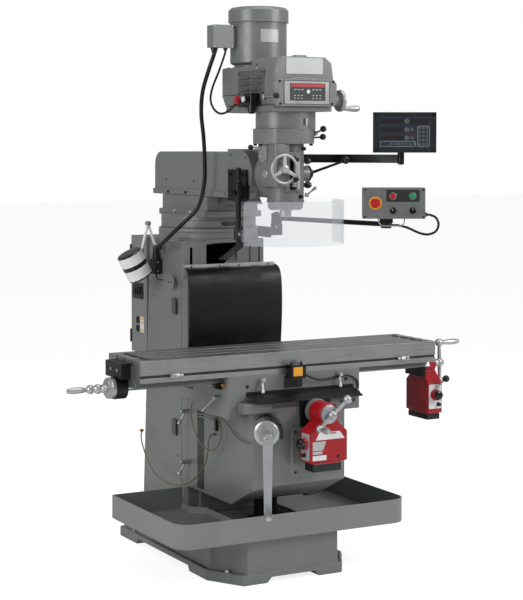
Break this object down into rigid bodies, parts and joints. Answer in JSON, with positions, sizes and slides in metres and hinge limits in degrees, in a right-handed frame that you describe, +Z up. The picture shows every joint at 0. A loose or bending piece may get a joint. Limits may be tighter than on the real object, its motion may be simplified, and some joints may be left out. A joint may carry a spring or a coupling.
{
  "type": "vertical milling machine",
  "caption": "Knee-type vertical milling machine: swivelling turret and ram, tilting motor head, powered table and cross feeds, swing-out control box, guard and lamp.",
  "frame": {"origin": "bottom centre of the machine box, on the floor", "axes": "+Z up, -Y towards the operator at the front of the table, +X along the table to the operator's right"},
  "size_m": [1.8152, 1.4822, 2.34],
  "materials": {
    "grey_paint": "satin grey machine paint on cast iron",
    "bare_steel": "turned and ground steel",
    "ground_iron": "ground cast iron",
    "chrome": "ground and polished steel",
    "black_oxide": "black painted metal",
    "black_plastic": "black moulded plastic",
    "black_rubber": "black rubber",
    "red_paint": "gloss dark red paint",
    "red_plastic": "red plastic button",
    "green_plastic": "green plastic button",
    "brushed_steel": "brushed stainless steel",
    "clear_plastic": "clear sheet plastic",
    "white_paint": "white enamel",
    "brass": "drawn brass tube"
  },
  "bodies": {
    "frame": {"base": "grey_paint", "chip_tray": "grey_paint", "column": "grey_paint", "elevating_pedestal": "black_oxide", "electrical_cabinet": "grey_paint", "apron": "black_rubber", "lamp_base": "black_plastic", "pendant_bracket": "black_oxide", "motor_cable": "black_rubber"},
    "turret": {"turret": "grey_paint"},
    "ram": {"ram": "grey_paint", "guard_post": "black_oxide", "dro_arm": "black_oxide"},
    "ram_adapter": {"ram_adapter": "grey_paint"},
    "head": {"head_casting": "grey_paint", "gear_housing": "grey_paint", "belt_housing": "grey_paint", "speed_cover": "grey_paint", "motor": "grey_paint", "drive_belt": "black_rubber", "drawbar_valve": "black_plastic", "depth_stop": "black_oxide", "valve_cord": "black_rubber"},
    "knee": {"knee": "grey_paint", "y_power_feed": "red_paint", "column_oil_line": "brass"},
    "saddle": {"saddle": "grey_paint", "way_cover": "black_rubber", "saddle_oil_line": "brass"},
    "table": {"table": "ground_iron", "left_end_bracket": "black_oxide", "x_power_feed": "red_paint"},
    "control_box": {"control_box": "grey_paint", "pendant_hose": "black_rubber"},
    "motor_pulley": {"motor_pulley": "bare_steel"},
    "spindle_pulley": {"spindle_pulley": "bare_steel"},
    "speed_handwheel": {"speed_handwheel": "bare_steel"},
    "range_lever": {"range_lever": "black_plastic"},
    "brake_lever": {"brake_lever": "black_plastic"},
    "fine_feed_handwheel": {"fine_feed_handwheel": "bare_steel"},
    "quill_feed_lever": {"quill_feed_lever": "bare_steel"},
    "quill_lock_lever": {"quill_lock_lever": "bare_steel"},
    "quill": {"quill": "bare_steel"},
    "spindle": {"spindle": "chrome"},
    "guard_shield": {"guard_shield": "clear_plastic"},
    "dro_display": {"dro_display": "black_plastic"},
    "elevating_screw": {"elevating_screw": "bare_steel"},
    "knee_crank": {"knee_crank": "bare_steel"},
    "knee_lock_upper": {"knee_lock_upper": "bare_steel"},
    "knee_lock_lower": {"knee_lock_lower": "bare_steel"},
    "y_crank": {"y_crank": "bare_steel"},
    "table_lock_left": {"table_lock_left": "bare_steel"},
    "table_lock_right": {"table_lock_right": "bare_steel"},
    "x_leadscrew": {"x_leadscrew": "bare_steel"},
    "pendant_arm": {"pendant_arm": "brushed_steel"},
    "emergency_stop": {"emergency_stop": "red_plastic"},
    "stop_button": {"stop_button": "red_plastic"},
    "start_button": {"start_button": "green_plastic"},
    "lamp_arm": {"lamp_arm": "white_paint"},
    "lamp_head": {"lamp_head": "white_paint"}
  },
  "joints": [
    {"name": "turret_swivel", "type": "hinge", "parent": "frame", "child": "turret", "pos_m": [-0.00898, 0.34714, 1.405], "axis": [0, 0, 1], "range_deg": [-45, 0], "deforming": ["motor_cable"]},
    {"name": "ram_slide", "type": "slide", "parent": "turret", "child": "ram", "axis": [0, 1, 0], "range_m": [-0.1, 0.16]},
    {"name": "head_nod", "type": "hinge", "parent": "ram", "child": "ram_adapter", "pos_m": [-0.00898, -0.15386, 1.646], "axis": [1, 0, 0], "range_deg": [-30, 6]},
    {"name": "head_tilt", "type": "hinge", "parent": "ram_adapter", "child": "head", "pos_m": [-0.00898, -0.34886, 1.646], "axis": [0, 1, 0], "range_deg": [-25, 10]},
    {"name": "quill_feed", "type": "slide", "parent": "head", "child": "quill", "axis": [0, 0, -1], "range_m": [0, 0.127]},
    {"name": "spindle_spin", "type": "hinge", "parent": "quill", "child": "spindle", "pos_m": [-0.00898, -0.34886, 1.6], "axis": [0, 0, 1], "continuous": true},
    {"name": "spindle_pulley_spin", "type": "hinge", "parent": "head", "child": "spindle_pulley", "pos_m": [-0.00898, -0.34886, 2], "axis": [0, 0, 1], "continuous": true},
    {"name": "motor_pulley_spin", "type": "hinge", "parent": "head", "child": "motor_pulley", "pos_m": [-0.00898, -0.11786, 2], "axis": [0, 0, 1], "continuous": true},
    {"name": "feed_lever_turn", "type": "hinge", "parent": "head", "child": "quill_feed_lever", "pos_m": [0.09132, -0.34886, 1.65], "axis": [1, 0, 0], "range_deg": [0, 330]},
    {"name": "fine_feed_turn", "type": "hinge", "parent": "head", "child": "fine_feed_handwheel", "pos_m": [-0.08298, -0.45416, 1.671], "axis": [0, -1, 0], "continuous": true},
    {"name": "speed_wheel_turn", "type": "hinge", "parent": "head", "child": "speed_handwheel", "pos_m": [0.15432, -0.45886, 1.946], "axis": [1, 0, 0], "continuous": true},
    {"name": "range_lever_turn", "type": "hinge", "parent": "head", "child": "range_lever", "pos_m": [0.10932, -0.37886, 1.815], "axis": [1, 0, 0], "range_deg": [-25, 25]},
    {"name": "brake_lever_turn", "type": "hinge", "parent": "head", "child": "brake_lever", "pos_m": [0.10932, -0.32886, 1.795], "axis": [1, 0, 0], "range_deg": [-20, 20]},
    {"name": "quill_lock_turn", "type": "hinge", "parent": "head", "child": "quill_lock_lever", "pos_m": [0.06652, -0.37686, 1.563], "axis": [0.9439, -0.3304, 0], "range_deg": [-60, 20]},
    {"name": "guard_swing", "type": "hinge", "parent": "ram", "child": "guard_shield", "pos_m": [-0.16898, -0.24186, 1.4], "axis": [0, 0, 1], "range_deg": [-80, 0]},
    {"name": "dro_swivel", "type": "hinge", "parent": "ram", "child": "dro_display", "pos_m": [0.43802, -0.52086, 1.75], "axis": [0, 0, 1], "range_deg": [-15, 30]},
    {"name": "knee_slide", "type": "slide", "parent": "frame", "child": "knee", "axis": [0, 0, 1], "range_m": [-0.02, 0.386], "deforming": ["apron", "column_oil_line"]},
    {"name": "knee_crank_turn", "type": "hinge", "parent": "knee", "child": "knee_crank", "pos_m": [-0.18055, -0.50122, 0.63], "axis": [-0.454, -0.891, 0], "continuous": true},
    {"name": "elevating_screw_turn", "type": "hinge", "parent": "knee", "child": "elevating_screw", "pos_m": [-0.00898, -0.17886, 0.6], "axis": [0, 0, 1], "continuous": true},
    {"name": "knee_lock_upper_turn", "type": "hinge", "parent": "knee", "child": "knee_lock_upper", "pos_m": [-0.20928, 0.12614, 0.627], "axis": [-1, 0, 0], "range_deg": [-30, 30]},
    {"name": "knee_lock_lower_turn", "type": "hinge", "parent": "knee", "child": "knee_lock_lower", "pos_m": [-0.20928, 0.12614, 0.409], "axis": [-1, 0, 0], "range_deg": [-30, 30]},
    {"name": "saddle_slide", "type": "slide", "parent": "knee", "child": "saddle", "axis": [0, 1, 0], "range_m": [-0.08, 0.21], "deforming": ["way_cover", "saddle_oil_line"]},
    {"name": "y_crank_turn", "type": "hinge", "parent": "knee", "child": "y_crank", "pos_m": [0.03602, -0.64886, 0.702], "axis": [0, -1, 0], "continuous": true},
    {"name": "table_lock_left_turn", "type": "hinge", "parent": "saddle", "child": "table_lock_left", "pos_m": [-0.16698, -0.42916, 0.829], "axis": [0, -1, 0], "range_deg": [-40, 40]},
    {"name": "table_lock_right_turn", "type": "hinge", "parent": "saddle", "child": "table_lock_right", "pos_m": [0.19402, -0.42916, 0.829], "axis": [0, -1, 0], "range_deg": [-40, 40]},
    {"name": "table_slide", "type": "slide", "parent": "saddle", "child": "table", "axis": [1, 0, 0], "range_m": [-0.375, 0.375]},
    {"name": "x_screw_turn", "type": "hinge", "parent": "table", "child": "x_leadscrew", "pos_m": [-0.00898, -0.27586, 0.8175], "axis": [1, 0, 0], "continuous": true},
    {"name": "pendant_swing", "type": "hinge", "parent": "frame", "child": "pendant_arm", "pos_m": [0.26902, 0.22414, 1.44], "axis": [0, 0, 1], "range_deg": [0, 60]},
    {"name": "control_box_swivel", "type": "hinge", "parent": "pendant_arm", "child": "control_box", "pos_m": [0.39602, -0.47686, 1.5], "axis": [0, 0, 1], "range_deg": [-40, 40]},
    {"name": "emergency_stop_press", "type": "slide", "parent": "control_box", "child": "emergency_stop", "axis": [0.5, 0.866, 0], "range_m": [0, 0.005]},
    {"name": "stop_press", "type": "slide", "parent": "control_box", "child": "stop_button", "axis": [0.5, 0.866, 0], "range_m": [0, 0.003], "stiffness_N_per_m": 1500},
    {"name": "start_press", "type": "slide", "parent": "control_box", "child": "start_button", "axis": [0.5, 0.866, 0], "range_m": [0, 0.003], "stiffness_N_per_m": 1500},
    {"name": "lamp_swivel", "type": "hinge", "parent": "frame", "child": "lamp_arm", "pos_m": [-0.22698, 0.43114, 1.31], "axis": [0, 0, 1], "range_deg": [-20, 20]},
    {"name": "lamp_head_tilt", "type": "hinge", "parent": "lamp_arm", "child": "lamp_head", "pos_m": [-0.29698, 0.43114, 1.302], "axis": [0, 1, 0], "range_deg": [0, 25]}
  ],
  "couplings": [
    {"joint": "spindle_pulley_spin", "follows": "spindle_spin", "ratio": 1},
    {"joint": "motor_pulley_spin", "follows": "spindle_spin", "ratio": 1.3333},
    {"joint": "feed_lever_turn", "follows": "quill_feed", "rad_per_m": 45},
    {"joint": "knee_crank_turn", "follows": "knee_slide", "rad_per_m": 2473.7},
    {"joint": "elevating_screw_turn", "follows": "knee_slide", "rad_per_m": 2473.7},
    {"joint": "y_crank_turn", "follows": "saddle_slide", "rad_per_m": 1236.8},
    {"joint": "x_screw_turn", "follows": "table_slide", "rad_per_m": 1236.8}
  ]
}
